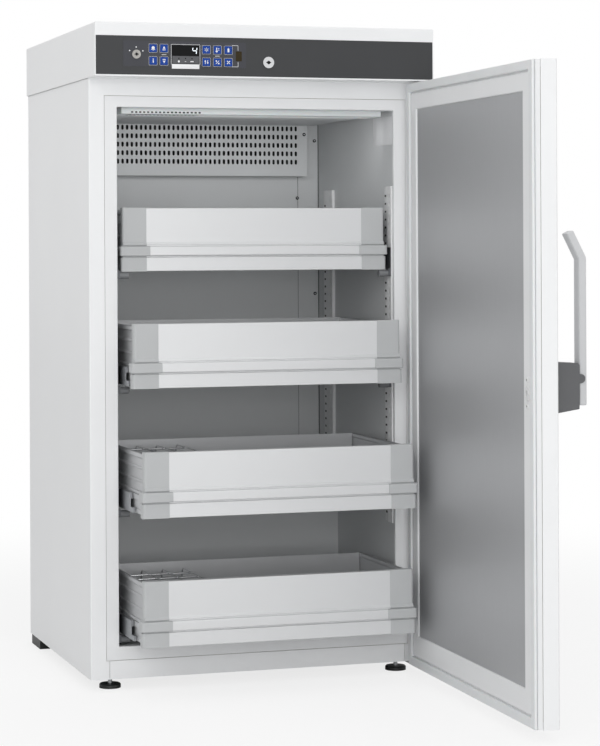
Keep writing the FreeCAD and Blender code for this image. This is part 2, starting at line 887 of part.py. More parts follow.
def wall_uprights():
    solids = []
    count = int((upright_top - upright_bottom - 20) / slot_pitch)
    for side in (-1, 1):
        for depth in upright_depths:
            plan = (
                (side * 288.0, depth - 3),
                (side * 288.0, depth),
                (side * 283.2, depth),
                (side * 283.2, depth + upright_width),
                (side * 288.0, depth + upright_width),
                (side * 288.0, depth + upright_width + 3),
                (side * 286.9, depth + upright_width + 3),
                (side * 286.9, depth + upright_width + 1.1),
                (side * 282.0, depth + upright_width + 1.1),
                (side * 282.0, depth - 1.1),
                (side * 286.9, depth - 1.1),
                (side * 286.9, depth - 3),
            )
            foot = upright_bottom if depth < step_front else step_top + 2
            post = upwards(plan, foot, upright_top)
            middle = depth + upright_width / 2
            levels = [upright_top - 24 - i * slot_pitch for i in range(count)]
            slots = [
                box(side * 281, side * 284, middle - 2.2, middle + 2.2, z, z + 9)
                for z in levels
                if z > foot + 6
            ]
            solids.append(post.cut(slots))
    save("wall_uprights", solids)


# Perforated air cover in front of the evaporator, with the narrow grille under the ceiling
def evaporator_cover():
    holes = []
    for row in range(5):
        for column in range(45):
            x = (column - 22) * 10.2
            z = 1037.5 + row * 18.1
            holes.append(stadium(x, z, 5.4, 10.6))
    depth = evaporator_cover_depth
    front = holed_sheet(
        rectangle(-250.0, 250.0, evaporator_cover_bottom, 1126.5), holes, depth, depth + 1.2
    )
    z0 = evaporator_cover_bottom
    sides = [box(side * 248.8, side * 250, depth + 1.2, cavity_back, z0, 1126.5) for side in (-1, 1)]
    floor = box(-248.8, 248.8, depth + 1.2, cavity_back, z0, z0 + 1.2)
    cover = fuse([front] + sides + [floor])
    shelf = box(-262, 262, 196, depth - 4, 1117.0, 1118.2)
    lip = box(-262, 262, 196, 197.2, 1118.2, 1127.8)
    slots = [box(-246 + i * 11.0, -240 + i * 11.0, 201, 215, 1116, 1119) for i in range(45)]
    save("evaporator_cover", [cover, fuse([shelf, lip]).cut(slots)])


# Finned coil with its tube bends, and the motor block that carries the fan
def evaporator():
    depth0 = evaporator_cover_depth + 6
    depth1 = cavity_back - 4
    fins = comb(-236.0, 84.0, 8.0, 1.2, depth0, depth1, 1016.0, 1112.0)
    tubes = []
    for z in (1030.0, 1052.0, 1074.0, 1096.0):
        tube_depth = (depth0 + depth1) / 2
        tubes.append(rod(4.5, Vector(-244.0, back(tube_depth), z), Vector(92.0, back(tube_depth), z)))
    coil = fuse([fins] + tubes)
    motor = rod_in_depth(17.0, fan_x, fan_z, 556.0, cavity_back)
    shaft = rod_in_depth(2.0, fan_x, fan_z, 538.0, 556.0)
    save("evaporator", [coil, motor.fuse(shaft)])


# A row of upright fins on a spine, as one comb
def comb(x0, x1, pitch, fin, depth0, depth1, z0, z1):
    spine = 3.0
    plan = [(x0, depth1), (x0, depth0)]
    count = int((x1 - x0) / pitch)
    for i in range(count):
        x = x0 + i * pitch
        plan.append((x + fin, depth0))
        plan.append((x + fin, depth1 - spine))
        plan.append((x + pitch, depth1 - spine))
        plan.append((x + pitch, depth0))
    end = x0 + count * pitch
    plan.append((end + fin, depth0))
    plan.append((end + fin, depth1))
    return upwards(plan, z0, z1)


def fan_rotor():
    hub = rod_in_depth(18.0, fan_x, fan_z, 541.0, 554.0)
    blades = []
    for i in range(5):
        blade = box(fan_x + 12, fan_x + 46, 546.0, 547.6, fan_z - 15, fan_z + 15)
        blade.rotate(Vector(fan_x, back(546.8), fan_z), Vector(1, 0, 0), 24)
        blade.rotate(Vector(fan_x, back(546.8), fan_z), Vector(0, 1, 0), 72 * i)
        blades.append(blade)
    bore = rod_in_depth(2.0 + running_gap, fan_x, fan_z, 530.0, 560.0)
    save("fan_rotor", fuse([hub] + blades).cut(bore))


def compressor():
    x = -130.0
    depth = 578.0
    centre = Vector(x, back(depth), 0)
    shell_points = (
        (0.0, 46.0),
        (58.0, 50.0, 14.0),
        (74.0, 72.0, 12.0),
        (74.0, 190.0, 30.0),
        (40.0, 236.0, 30.0),
        (0.0, 240.0),
    )
    wire = outline(shell_points, lambda p: Vector(x + p.x, back(depth), p.y))
    dome = Part.Face(wire).revolve(centre, Vector(0, 0, 1), 360)
    plate = box(x - 98, x + 98, depth - 50, depth + 50, 36.0, 40.0)
    pedestal = upright_rod(40.0, x, depth, 40.0, 60.0)
    grommets = [
        upright_rod(10.0, x + dx, depth + dy, 24.0, 36.0) for dx in (-86, 86) for dy in (-40, 40)
    ]
    terminal = box(x + 60, x + 92, depth - 30, depth + 30, 90.0, 160.0)
    body = fuse([Part.makeSolid(dome) if dome.ShapeType == "Shell" else dome, plate, pedestal, terminal])
    save("compressor", [body] + grommets)


def condenser():
    fins = comb(60.0, 290.0, 10.0, 1.5, 520.0, 630.0, 40.0, 250.0)
    stand = box(60, 292, 520, 630, 24.0, 40.0)
    tubes = [
        rod(4.8, Vector(50.0, back(depth), z), Vector(302.0, back(depth), z))
        for depth in (545.0, 585.0)
        for z in (70.0, 120.0, 170.0, 220.0)
    ]
    save("condenser", fuse([fins, stand] + tubes))


def screw_head(x, z, depth):
    head = rod_in_depth(3.6, x, z, depth - 1.8, depth)
    drive = rod_in_depth(1.5, x, z, depth - 2.5, depth - 0.8)
    return head.cut(drive)


def liner_screws():
    cover = evaporator_cover_depth
    solids = []
    for side in (-1, 1):
        solids.append(screw_head(side * 243, 1098.0, cover))
        solids.append(screw_head(side * 279, 1086.0, cavity_back))
        solids.append(screw_head(side * 239, 960.0, cavity_back))
        solids.append(screw_head(side * 279, 750.0, cavity_back))
    save("liner_screws", solids)


def all_drawers():
    for number, drawer in drawers.items():
        front = closed_front - drawer["pull"]
        bottom = drawer["bottom"]
        drawer_front(number, front, bottom)
        drawer_caps(number, front, bottom)
        drawer_box(number, front, bottom, drawer["length"])
        drawer_runners(number, front, bottom, drawer)
        if number in rack_drawers:
            divider_rack(number, front, bottom, drawer["length"])


cabinet_shell()
cabinet_foam()
inner_liner()
front_frame()
base_frame()
back_panel()
cable_gland()
feet()
top_cover()
fascia()
control_foil()
display_window()
panel_keys()
turning_barrel("key_switch", key_switch_place, key_switch_radius, 8.5, -0.7, 14.0)
turning_barrel("panel_lock", panel_lock_place, panel_lock_radius, 11.0, -0.15, 18.0)
hinge_brackets()
door_skin()
door_end_caps()
door_foam()
door_frame()
door_panel()
door_gasket()
strike_escutcheon()
handle_base()
handle_lever()
all_drawers()
cabinet_rails()
wall_uprights()
evaporator_cover()
evaporator()
fan_rotor()
compressor()
condenser()
liner_screws()
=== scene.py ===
import math

import bpy
from mathutils import Matrix, Vector


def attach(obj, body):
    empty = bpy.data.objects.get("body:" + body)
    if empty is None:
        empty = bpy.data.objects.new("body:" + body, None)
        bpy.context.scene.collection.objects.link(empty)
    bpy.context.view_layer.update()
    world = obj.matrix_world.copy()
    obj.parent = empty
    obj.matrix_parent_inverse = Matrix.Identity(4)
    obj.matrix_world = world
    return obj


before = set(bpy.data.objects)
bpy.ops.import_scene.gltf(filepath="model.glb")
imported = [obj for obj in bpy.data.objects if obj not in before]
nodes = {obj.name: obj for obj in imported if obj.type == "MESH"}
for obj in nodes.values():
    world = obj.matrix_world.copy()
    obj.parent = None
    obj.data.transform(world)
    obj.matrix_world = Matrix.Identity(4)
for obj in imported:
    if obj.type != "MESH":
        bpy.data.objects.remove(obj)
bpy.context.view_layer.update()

mm = 0.001
print("frame loaded:", len(nodes), "nodes")


def linear(hexText):            # sRGB hex to the linear colour that the shaders work in
    parts = [int(hexText[i:i + 2], 16) / 255 for i in (0, 2, 4)]
    return tuple(c / 12.92 if c <= 0.04045 else ((c + 0.055) / 1.055) ** 2.4 for c in parts) + (1.0,)


def addNode(tree, kind, settings=None, inputs=None):
    node = tree.nodes.new(kind)
    for key, value in (settings or {}).items():
        setattr(node, key, value)
    for key, value in (inputs or {}).items():
        if isinstance(value, bpy.types.NodeSocket):
            tree.links.new(value, node.inputs[key])
        else:
            node.inputs[key].default_value = value
    return node


def surface(name, look):
    # one finish: two close colours in soft patches, a grain that is felt as bump, and an uneven gloss
    material = bpy.data.materials.new(name)
    material.use_nodes = True
    tree = material.node_tree
    tree.nodes.clear()
    place = addNode(tree, "ShaderNodeTexCoord")
    spread = addNode(tree, "ShaderNodeMapping", None,
                     {"Vector": place.outputs["Object"], "Scale": look.get("stretch", (1, 1, 1))})
    patches = addNode(tree, "ShaderNodeTexNoise", None,
                      {"Vector": place.outputs["Object"], "Scale": 1000 / look["patchMm"], "Detail": 3.0})
    colour = addNode(tree, "ShaderNodeMix", {"data_type": "RGBA"},
                     {"Factor": patches.outputs["Fac"],
                      "A": linear(look["base"]), "B": linear(look["shade"])})
    grain = addNode(tree, "ShaderNodeTexNoise", None,
                    {"Vector": spread.outputs["Vector"], "Scale": 1000 / look["grainMm"],
                     "Detail": 4.0, "Roughness": 0.6})
    gloss = addNode(tree, "ShaderNodeMapRange", None,
                    {"Value": grain.outputs["Fac"], "From Min": 0.3, "From Max": 0.7,
                     "To Min": look["rough"] - look["roughSwing"],
                     "To Max": look["rough"] + look["roughSwing"]})
    bump = addNode(tree, "ShaderNodeBump", None,
                   {"Height": grain.outputs["Fac"], "Strength": look["bump"],
                    "Distance": look["depthMm"] * mm})
    shader = addNode(tree, "ShaderNodeBsdfPrincipled", None,
                     {"Base Color": colour.outputs["Result"], "Roughness": gloss.outputs["Result"],
                      "Normal": bump.outputs["Normal"], "Metallic": look.get("metallic", 0.0)})
    for socket, value in look.get("shader", {}).items():
        shader.inputs[socket].default_value = value
    addNode(tree, "ShaderNodeOutputMaterial", None, {"Surface": shader.outputs["BSDF"]})
    return material


def dress(material, *names):
    for name in names:
        mesh = nodes[name].data
        mesh.materials.clear()
        mesh.materials.append(material)


def dressFaces(name, material, chosen):
    # a second finish on one CAD node, on the faces whose centre (in mm) is chosen
    mesh = nodes[name].data
    mesh.materials.append(material)
    slot = len(mesh.materials) - 1
    for face in mesh.polygons:
        if chosen(face.center * 1000):
            face.material_index = slot


def clearSelection():
    if bpy.context.object and bpy.context.object.mode != "OBJECT":
        bpy.ops.object.mode_set(mode="OBJECT")
    bpy.ops.object.select_all(action="DESELECT")


def finishPiece(piece, name, body, material):
    # applies the piece's place, names it and lets it ride on its body
    clearSelection()
    piece.select_set(True)
    bpy.context.view_layer.objects.active = piece
    bpy.ops.object.transform_apply(location=True, rotation=True, scale=True)
    bpy.ops.object.shade_smooth_by_angle(angle=math.radians(35))
    piece.name = name
    piece.data.name = name
    piece.data.materials.clear()
    piece.data.materials.append(material)
    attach(piece, body)


def bevelAll(edge, segments):
    # rounds every edge of the active piece, by edge in mm
    bpy.ops.object.mode_set(mode="EDIT")
    bpy.ops.mesh.select_all(action="SELECT")
    bpy.ops.mesh.bevel(offset=edge * mm, segments=segments, profile=0.5)
    bpy.ops.object.mode_set(mode="OBJECT")


def around(middle, width):      # the range of this width about its middle
    return middle - width / 2, middle + width / 2


def block(xs, ys, zs, edge, segments=2):
    # a bevelled block that fills three ranges, in mm
    clearSelection()
    ranges = (xs, ys, zs)
    bpy.ops.mesh.primitive_cube_add(size=1, location=[(low + high) / 2 * mm for low, high in ranges])
    piece = bpy.context.object
    piece.scale = [(high - low) * mm for low, high in ranges]
    bpy.ops.object.transform_apply(location=True, rotation=True, scale=True)
    bevelAll(edge, segments)
    return piece


def disc(x, z, radius, ys, edge, sides):
    # a bevelled disc that faces the front, in mm
    clearSelection()
    bpy.ops.mesh.primitive_cylinder_add(
        vertices=sides, radius=radius * mm, depth=(ys[1] - ys[0]) * mm,
        location=(x * mm, (ys[0] + ys[1]) / 2 * mm, z * mm), rotation=(math.radians(90), 0, 0))
    bpy.ops.object.transform_apply(location=True, rotation=True, scale=True)
    bevelAll(edge, 2)
    return bpy.context.object


def joined(pieces):
    clearSelection()
    for piece in pieces:
        piece.select_set(True)
    bpy.context.view_layer.objects.active = pieces[0]
    if len(pieces) > 1:
        bpy.ops.object.join()
    return bpy.context.view_layer.objects.active


def turned(piece, degrees, x, z):
    # turns a flat mark about the point (x, z) on the panel
    pivot = Vector((x * mm, 0, z * mm))
    piece.data.transform(Matrix.Translation(pivot) @ Matrix.Rotation(math.radians(degrees), 4, "Y")
                         @ Matrix.Translation(-pivot))
    return piece


doorHinge = {"pin": (334.5, -297.2), "restDegrees": 88.36}      # the door stands open at rest

hingePin = Vector((*doorHinge["pin"], 0.0)) * mm
doorOpen = (Matrix.Translation(hingePin) @ Matrix.Rotation(math.radians(doorHinge["restDegrees"]), 4, "Z")
            @ Matrix.Translation(-hingePin))


def onDoor(piece):
    # door pieces are made as on the shut door, then swung to where the door stands
    piece.data.transform(doorOpen)
    return piece


# The camera stands where the photograph was taken from

cameraView = {
    "place": (-1.3419, -4.7306, 0.864), "yaw": 0.3093, "roll": 0.0046,
    "lens": 114.39, "sensor": 36, "shiftY": -0.176, "farClip": 60,
}

cameraData = bpy.data.cameras.new("photoCamera")
cameraData.lens = cameraView["lens"]
cameraData.sensor_width = cameraView["sensor"]
cameraData.shift_y = cameraView["shiftY"]
cameraData.clip_end = cameraView["farClip"]
camera = bpy.data.objects.new("photoCamera", cameraData)
bpy.context.scene.collection.objects.link(camera)
camera.location = cameraView["place"]
camera.rotation_euler = (math.radians(90), cameraView["roll"], -cameraView["yaw"])
bpy.context.scene.camera = camera
bpy.context.scene.view_settings.view_transform = "Standard"

# Soft daylight all round; the backdrop shows as plain white to the eye, in metal and through glass
studio = {
    "ambient": 0.62, "backdrop": 1.0, "floorSize": 40, "floorHeight": -0.0002,
    "floorNear": 0.78, "fadeFrom": 0.9, "fadeTo": 2.6,          # the floor's white near by, and its fade in m
}

world = bpy.data.worlds.new("studioWhite")
bpy.context.scene.world = world
world.use_nodes = True
tree = world.node_tree
tree.nodes.clear()
rays = addNode(tree, "ShaderNodeLightPath")
seen = addNode(tree, "ShaderNodeMath", {"operation": "MAXIMUM"},
               {0: rays.outputs["Is Camera Ray"], 1: rays.outputs["Is Glossy Ray"]})
seenOrThrough = addNode(tree, "ShaderNodeMath", {"operation": "MAXIMUM"},
                        {0: seen.outputs[0], 1: rays.outputs["Is Transmission Ray"]})
fill = addNode(tree, "ShaderNodeBackground", None, {"Color": linear("FFFFFF"), "Strength": studio["ambient"]})
backdrop = addNode(tree, "ShaderNodeBackground", None,
                   {"Color": linear("FFFFFF"), "Strength": studio["backdrop"]})
blendWorld = addNode(tree, "ShaderNodeMixShader", None,
                     {0: seenOrThrough.outputs[0], 1: fill.outputs[0], 2: backdrop.outputs[0]})
addNode(tree, "ShaderNodeOutputWorld", None, {"Surface": blendWorld.outputs[0]})

# Softboxes, and the small lamp under the compartment's ceiling; places in m, power in W
lamps = {
    "keySoftbox": {"place": (-2.6, -4.2, 2.6), "aim": (0, 0, 0.7), "size": (2.4, 2.4), "power": 38},
    "frontSoftbox": {"place": (-0.6, -5.2, 1.1), "aim": (0, 0, 0.6), "size": (2.2, 1.8), "power": 42},
    "topSoftbox": {"place": (0.0, -0.6, 4.2), "aim": (0, 0, 0.0), "size": (3.0, 3.0), "power": 18},
    "interiorLamp": {"place": (0.0, -0.2, 1.085), "aim": (0, 0.2, 1.075), "size": (0.5, 0.05), "power": 0.14},
}

for lampName, lamp in lamps.items():
    lampData = bpy.data.lights.new(lampName, "AREA")
    lampData.shape = "RECTANGLE"
    lampData.size, lampData.size_y = lamp["size"]
    lampData.energy = lamp["power"]
    lampObject = bpy.data.objects.new(lampName, lampData)
    bpy.context.scene.collection.objects.link(lampObject)
    lampObject.location = lamp["place"]
    lampObject.visible_camera = False
    away = Vector(lamp["place"]) - Vector(lamp["aim"])
    lampObject.rotation_euler = away.to_track_quat("Z", "Y").to_euler()

clearSelection()
bpy.ops.mesh.primitive_plane_add(size=studio["floorSize"], location=(0, 0, studio["floorHeight"]))
floor = bpy.context.object
floor.name = "studioFloor"
floorPaint = bpy.data.materials.new("paleStudioFloor")
floorPaint.use_nodes = True
tree = floorPaint.node_tree
tree.nodes.clear()
rays = addNode(tree, "ShaderNodeLightPath")
matt = addNode(tree, "ShaderNodeBsdfDiffuse", None, {"Color": linear("F4F4F4")})
glow = addNode(tree, "ShaderNodeEmission", None, {"Color": linear("FFFFFF"), "Strength": 1.0})
place = addNode(tree, "ShaderNodeTexCoord")
reach = addNode(tree, "ShaderNodeVectorMath", {"operation": "LENGTH"}, {0: place.outputs["Object"]})
fade = addNode(tree, "ShaderNodeMapRange", {"interpolation_type": "SMOOTHSTEP"},
               {"Value": reach.outputs["Value"], "From Min": studio["fadeFrom"], "From Max": studio["fadeTo"],
                "To Min": studio["floorNear"], "To Max": 1.0})
share = addNode(tree, "ShaderNodeMath", {"operation": "MULTIPLY"},
                {0: rays.outputs["Is Camera Ray"], 1: fade.outputs["Result"]})
mixFloor = addNode(tree, "ShaderNodeMixShader", None,
                   {0: share.outputs[0], 1: matt.outputs[0], 2: glow.outputs[0]})
addNode(tree, "ShaderNodeOutputMaterial", None, {"Surface": mixFloor.outputs[0]})
floor.data.materials.append(floorPaint)
print("camera, light and floor ready")


# polyester powder coat, baked: white, a faint orange peel about 1.5 mm across, low sheen
powderCoat = surface("powderCoatWhite", {
    "base": "F2F3F4", "shade": "EEEFF0", "patchMm": 220, "grainMm": 1.6,
    "rough": 0.42, "roughSwing": 0.03, "bump": 0.10, "depthMm": 0.03,
    "shader": {"IOR": 1.5, "Coat Weight": 0.08, "Coat Roughness": 0.25}})

# moulded ABS of the door frame and the opening: light grey, spark-eroded grain drawn at 0.9 mm
frameAbs = surface("mouldedAbsLightGrey", {
    "base": "EEEFF0", "shade": "E8E9EA", "patchMm": 160, "grainMm": 0.9,
    "rough": 0.46, "roughSwing": 0.04, "bump": 0.12, "depthMm": 0.03, "shader": {"IOR": 1.53}})

# soft PVC seal: off-white, slightly waxy, with a low sheen on the folds
sealPvc = surface("softPvcSeal", {
    "base": "E9EAEB", "shade": "E0E1E2", "patchMm": 60, "grainMm": 1.2,
    "rough": 0.5, "roughSwing": 0.05, "bump": 0.1, "depthMm": 0.04,
    "shader": {"IOR": 1.5, "Subsurface Weight": 0.05, "Sheen Weight": 0.1}})

# cold-rolled stainless sheet of the cabinet's inside: satin, brushed along the wall, 1 mm streaks
linerSteel = surface("satinStainlessLiner", {
    "base": "E2E4E5", "shade": "DADCDD", "patchMm": 300, "grainMm": 1.0, "stretch": (0.03, 0.03, 1.0),
    "rough": 0.48, "roughSwing": 0.05, "bump": 0.08, "depthMm": 0.02, "metallic": 0.15,
    "shader": {"Anisotropic": 0.3}})

# brushed stainless panel of the door: upright streaks that pull highlights into soft bands
doorSteel = surface("brushedStainlessDoorPanel", {
    "base": "BCBDBF", "shade": "B2B3B5", "patchMm": 520, "grainMm": 1.1, "stretch": (1.0, 1.0, 0.02),
    "rough": 0.5, "roughSwing": 0.05, "bump": 0.08, "depthMm": 0.02, "metallic": 0.7,
    "shader": {"Anisotropic": 0.4}})

# silver anodised aluminium of the drawer fronts: extrusion lines run across, drawn 0.8 mm apart
drawerAluminium = surface("anodisedAluminiumFront", {
    "base": "DCDDDE", "shade": "D6D7D8", "patchMm": 240, "grainMm": 0.8, "stretch": (0.02, 1.0, 1.0),
    "rough": 0.42, "roughSwing": 0.05, "bump": 0.08, "depthMm": 0.02, "metallic": 0.35})

# mill-finish aluminium of the drawer side walls: duller, with drawing lines front to back
wallAluminium = surface("drawnAluminiumWall", {
    "base": "C9CACB", "shade": "BDBEC0", "patchMm": 120, "grainMm": 0.8, "stretch": (1.0, 0.02, 1.0),
    "rough": 0.40, "roughSwing": 0.07, "bump": 0.10, "depthMm": 0.02, "metallic": 0.7})

# moulded ABS corner caps: mid grey, fine eroded grain, satin
capAbs = surface("mouldedAbsCapGrey", {
    "base": "BDBFC0", "shade": "B5B7B8", "patchMm": 90, "grainMm": 0.8,
    "rough": 0.45, "roughSwing": 0.04, "bump": 0.14, "depthMm": 0.03, "shader": {"IOR": 1.53}})

# zinc-plated steel of rails and brackets: bluish grey with cloudy plating and a soft shine
zincSteel = surface("zincPlatedSteel", {
    "base": "A7A9AC", "shade": "8E9194", "patchMm": 22, "grainMm": 0.9, "stretch": (1.0, 0.05, 1.0),
    "rough": 0.36, "roughSwing": 0.08, "bump": 0.10, "depthMm": 0.02, "metallic": 0.9})

# rails on the walls: phosphated and oiled, so much darker than plated steel
railSteel = surface("phosphatedRailSteel", {
    "base": "636568", "shade": "54565A", "patchMm": 30, "grainMm": 1.0, "stretch": (1.0, 0.05, 1.0),
    "rough": 0.42, "roughSwing": 0.06, "bump": 0.10, "depthMm": 0.02, "metallic": 0.6})

# galvanised back sheet: spangle about 12 mm across, dull grey
galvanised = surface("galvanisedSheet", {
    "base": "A9ABAD", "shade": "94979A", "patchMm": 12, "grainMm": 3.0,
    "rough": 0.48, "roughSwing": 0.08, "bump": 0.06, "depthMm": 0.03, "metallic": 0.75})

# brushed and lacquered dark panel sheet: near-black grey, satin, very fine cross lines
panelLacquer = surface("darkLacquerPanel", {
    "base": "48494B", "shade": "444546", "patchMm": 200, "grainMm": 0.7, "stretch": (0.05, 1.0, 1.0),
    "rough": 0.5, "roughSwing": 0.03, "bump": 0.06, "depthMm": 0.02,
    "shader": {"IOR": 1.5, "Specular IOR Level": 0.15}})

# printed polyester keypad foil: dark, hair-fine matt texture, a little glossier than the panel
keypadFoil = surface("polyesterKeypadFoil", {
    "base": "4A4B50", "shade": "46474C", "patchMm": 120, "grainMm": 0.6,
    "rough": 0.42, "roughSwing": 0.04, "bump": 0.05, "depthMm": 0.02,
    "shader": {"IOR": 1.6, "Specular IOR Level": 0.12}})

# embossed keys of the same foil, printed blue from behind: smooth domes with a clear gloss
keyFoil = surface("embossedBlueKeyFoil", {
    "base": "1D479E", "shade": "193F90", "patchMm": 20, "grainMm": 0.6,
    "rough": 0.26, "roughSwing": 0.03, "bump": 0.04, "depthMm": 0.02,
    "shader": {"IOR": 1.6, "Specular IOR Level": 0.15}})

# screen-printed white ink, also over the blank plate and the writing strip: flat, matt, a hair thick
whiteInk = surface("screenPrintedWhiteInk", {
    "base": "F4F5F6", "shade": "EBECEE", "patchMm": 15, "grainMm": 0.5,
    "rough": 0.55, "roughSwing": 0.04, "bump": 0.05, "depthMm": 0.01})

# tinted acrylic of the display: nearly black, polished, mirrors the softboxes faintly
tintedAcrylic = surface("tintedAcrylicWindow", {
    "base": "161718", "shade": "121314", "patchMm": 40, "grainMm": 1.5,
    "rough": 0.16, "roughSwing": 0.02, "bump": 0.02, "depthMm": 0.01,
    "shader": {"IOR": 1.49, "Specular IOR Level": 0.12}})

# brown filter window of the receiver: dark amber acrylic
amberAcrylic = surface("amberFilterWindow", {
    "base": "3D3420", "shade": "332B19", "patchMm": 9, "grainMm": 1.5,
    "rough": 0.2, "roughSwing": 0.02, "bump": 0.02, "depthMm": 0.01,
    "shader": {"IOR": 1.49, "Specular IOR Level": 0.12}})

# grey field printed behind the lower half of the display: flat and matt
fieldInk = surface("screenPrintedGreyField", {
    "base": "626366", "shade": "5C5D60", "patchMm": 15, "grainMm": 0.5,
    "rough": 0.5, "roughSwing": 0.04, "bump": 0.04, "depthMm": 0.01,
    "shader": {"Specular IOR Level": 0.15}})

# die-cast zinc barrel of the key switch, satin nickel plated: soft grey with a warm cast
satinNickel = surface("satinNickelBarrel", {
    "base": "A3A19D", "shade": "8D8B88", "patchMm": 5, "grainMm": 0.8,
    "rough": 0.34, "roughSwing": 0.08, "bump": 0.3, "depthMm": 0.05, "metallic": 0.8})

# roll-formed and zinc-plated uprights and flanges, with fine rolling lines along their length; their
# near-white colour is a painted reflection
zincUprightPaintedReflection = surface("zincUprightWithPaintedReflection", {
    "base": "FAFAFA", "shade": "F0F1F2", "patchMm": 40, "grainMm": 0.9, "stretch": (1.0, 1.0, 0.03),
    "rough": 0.35, "roughSwing": 0.06, "bump": 0.08, "depthMm": 0.02, "metallic": 0.15})

# blackened steel of the liner screws: dark, a little oily; the same dark, set in slots and keyholes, is
# painted shade
blackenedSteelAndHoleShade = surface("blackenedScrewSteelAndPaintedHoleShade", {
    "base": "2A2B2C", "shade": "202122", "patchMm": 4, "grainMm": 0.8,
    "rough": 0.4, "roughSwing": 0.06, "bump": 0.12, "depthMm": 0.02, "metallic": 0.4})

# dark elastic sealant in the corners of the lining: matt, slightly uneven bead; the same dark strip in the
# gap over the air cover is painted shade
sealantAndGapShade = surface("greyJointSealantAndPaintedGapShade", {
    "base": "4A4B4C", "shade": "414243", "patchMm": 20, "grainMm": 1.5,
    "rough": 0.6, "roughSwing": 0.06, "bump": 0.2, "depthMm": 0.05})

# opal polycarbonate of the lamp cover: milky and faintly glossy, light spreads inside it
opalCover = surface("opalPolycarbonate", {
    "base": "EFF0F0", "shade": "E8E9E9", "patchMm": 70, "grainMm": 1.2,
    "rough": 0.35, "roughSwing": 0.04, "bump": 0.05, "depthMm": 0.02,
    "shader": {"IOR": 1.58, "Subsurface Weight": 0.15}})

# coated evaporator fins, epoxy black, seen only through the cover's slots, where their black is also painted
# shade; the dark sheet behind them is painted shade only
blackFinsAndSlotShade = surface("blackEpoxyFinsAndPaintedSlotShade", {
    "base": "232425", "shade": "191A1B", "patchMm": 30, "grainMm": 1.2,
    "rough": 0.6, "roughSwing": 0.05, "bump": 0.1, "depthMm": 0.03})

# zinc-plated foot spindles: bright, cloudy plating
footSpindle = surface("zincPlatedSpindle", {
    "base": "C4C6C8", "shade": "AEB0B3", "patchMm": 6, "grainMm": 0.7, "stretch": (1.0, 1.0, 0.2),
    "rough": 0.3, "roughSwing": 0.06, "bump": 0.1, "depthMm": 0.02, "metallic": 0.5})

# bright chrome plate on locks, screws and rack wires: mirror with faint polishing swirls
chromePlate = surface("brightChromePlate", {
    "base": "D9DADB", "shade": "CFD0D2", "patchMm": 14, "grainMm": 0.7,
    "rough": 0.16, "roughSwing": 0.05, "bump": 0.04, "depthMm": 0.01, "metallic": 1.0})

# black glass-filled polyamide of the feet: slightly grained, dull sheen on the rims
blackPolyamide = surface("blackGlassFilledPolyamide", {
    "base": "1A1B1C", "shade": "131415", "patchMm": 18, "grainMm": 0.8,
    "rough": 0.42, "roughSwing": 0.06, "bump": 0.2, "depthMm": 0.04, "shader": {"IOR": 1.55}})

# grey moulded polyamide of the handle's base: darker than the case, grained, satin edges
handlePolyamide = surface("mouldedGreyPolyamide", {
    "base": "5E5F61", "shade": "57585A", "patchMm": 45, "grainMm": 0.9,
    "rough": 0.42, "roughSwing": 0.05, "bump": 0.18, "depthMm": 0.04, "shader": {"IOR": 1.53}})

# silver-grey wet lacquer on the lever's metal bar: smooth, with a fine metallic flake
leverLacquer = surface("silverLacquerBar", {
    "base": "CFD0D2", "shade": "C6C7C9", "patchMm": 60, "grainMm": 0.6,
    "rough": 0.34, "roughSwing": 0.04, "bump": 0.05, "depthMm": 0.01, "metallic": 0.25,
    "shader": {"Coat Weight": 0.2, "Coat Roughness": 0.2}})

# black enamel of the compressor: stoved, glossy, with an uneven flow
blackEnamel = surface("stovedBlackEnamel", {
    "base": "161718", "shade": "101112", "patchMm": 30, "grainMm": 5.0,
    "rough": 0.3, "roughSwing": 0.06, "bump": 0.15, "depthMm": 0.08, "shader": {"IOR": 1.5}})

# rolled aluminium fins: thin, bright at the edges, dusty between
finAluminium = surface("rolledFinAluminium", {
    "base": "B9BBBD", "shade": "9EA0A2", "patchMm": 26, "grainMm": 1.0, "stretch": (1.0, 1.0, 0.05),
    "rough": 0.42, "roughSwing": 0.08, "bump": 0.1, "depthMm": 0.02, "metallic": 0.85})

# polyurethane foam: pale grey-yellow closed cells about 1.5 mm across, fully matt
polyurethane = surface("polyurethaneFoam", {
    "base": "CFCDC4", "shade": "C3C1B7", "patchMm": 25, "grainMm": 1.5,
    "rough": 0.85, "roughSwing": 0.05, "bump": 0.5, "depthMm": 0.4})

# black nitrile rubber of grommets and gland: matt, slightly dusty
blackRubber = surface("blackNitrileRubber", {
    "base": "202122", "shade": "18191A", "patchMm": 12, "grainMm": 1.0,
    "rough": 0.65, "roughSwing": 0.05, "bump": 0.2, "depthMm": 0.05})

# grey nylon of the glides: waxy, dull at the running faces
glideNylon = surface("mouldedNylonGlide", {
    "base": "7A7C7E", "shade": "6E7072", "patchMm": 12, "grainMm": 1.0,
    "rough": 0.42, "roughSwing": 0.04, "bump": 0.08, "depthMm": 0.02, "shader": {"IOR": 1.53}})

# pale acetal of the strike plate: smooth, faintly waxy
strikeAcetal = surface("mouldedAcetalStrike", {
    "base": "E6E7E7", "shade": "DDDEDE", "patchMm": 12, "grainMm": 0.9,
    "rough": 0.36, "roughSwing": 0.04, "bump": 0.06, "depthMm": 0.02, "shader": {"IOR": 1.48}})

